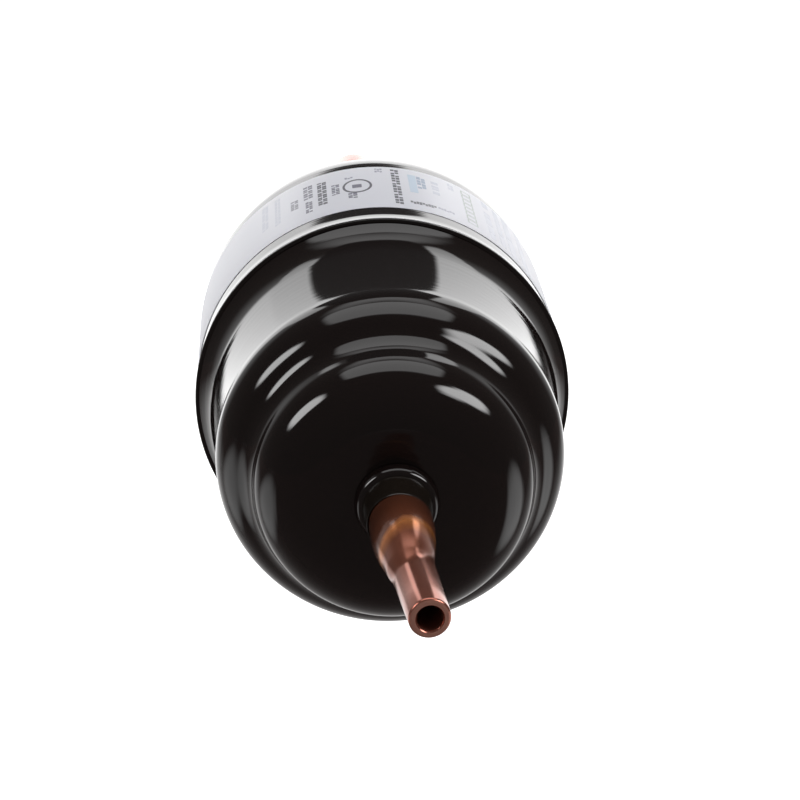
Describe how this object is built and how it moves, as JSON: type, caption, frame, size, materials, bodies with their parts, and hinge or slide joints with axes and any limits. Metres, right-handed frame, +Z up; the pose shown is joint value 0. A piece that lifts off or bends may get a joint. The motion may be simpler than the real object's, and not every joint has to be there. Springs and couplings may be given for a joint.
{
  "type": "filter drier",
  "caption": "Hermetic refrigerant filter drier: black drawn-steel body with a stepped end cap, a white label band and copper connection tubes.",
  "frame": {"origin": "on the body's axis, midway between the two open tube ends", "axes": "+Y along the axis towards the long inlet tube, -Y towards the reduced outlet, +X the side to which the outlet's reducer is offset, +Z up"},
  "size_m": [0.0668, 0.247, 0.0668],
  "materials": {
    "black_enamel": "glossy black enamel on drawn steel",
    "bare_steel": "bare pressed steel",
    "copper": "drawn copper tube, semi-bright, darkened by brazing heat beside the body",
    "painted_braze": "braze fillet, painted over",
    "label_paper": "glossy white label with lilac-grey printed bars",
    "desiccant": "bonded molecular sieve and alumina beads",
    "felt": "polyester and glass-fibre felt"
  },
  "bodies": {
    "root": {"main_shell": "black_enamel", "end_cap": "black_enamel", "label": "label_paper", "inlet_bushing": "black_enamel", "outlet_bushing": "black_enamel", "inlet_braze": "painted_braze", "outlet_braze": "painted_braze", "inlet_tube": "copper", "outlet_tube": "copper", "outlet_plate": "bare_steel", "outlet_screen": "bare_steel", "filter_mat": "felt", "desiccant_core": "desiccant", "core_seal": "felt", "inlet_pad": "felt", "inlet_screen": "bare_steel", "spring_plate": "bare_steel", "spring": "bare_steel"}
  },
  "joints": []
}
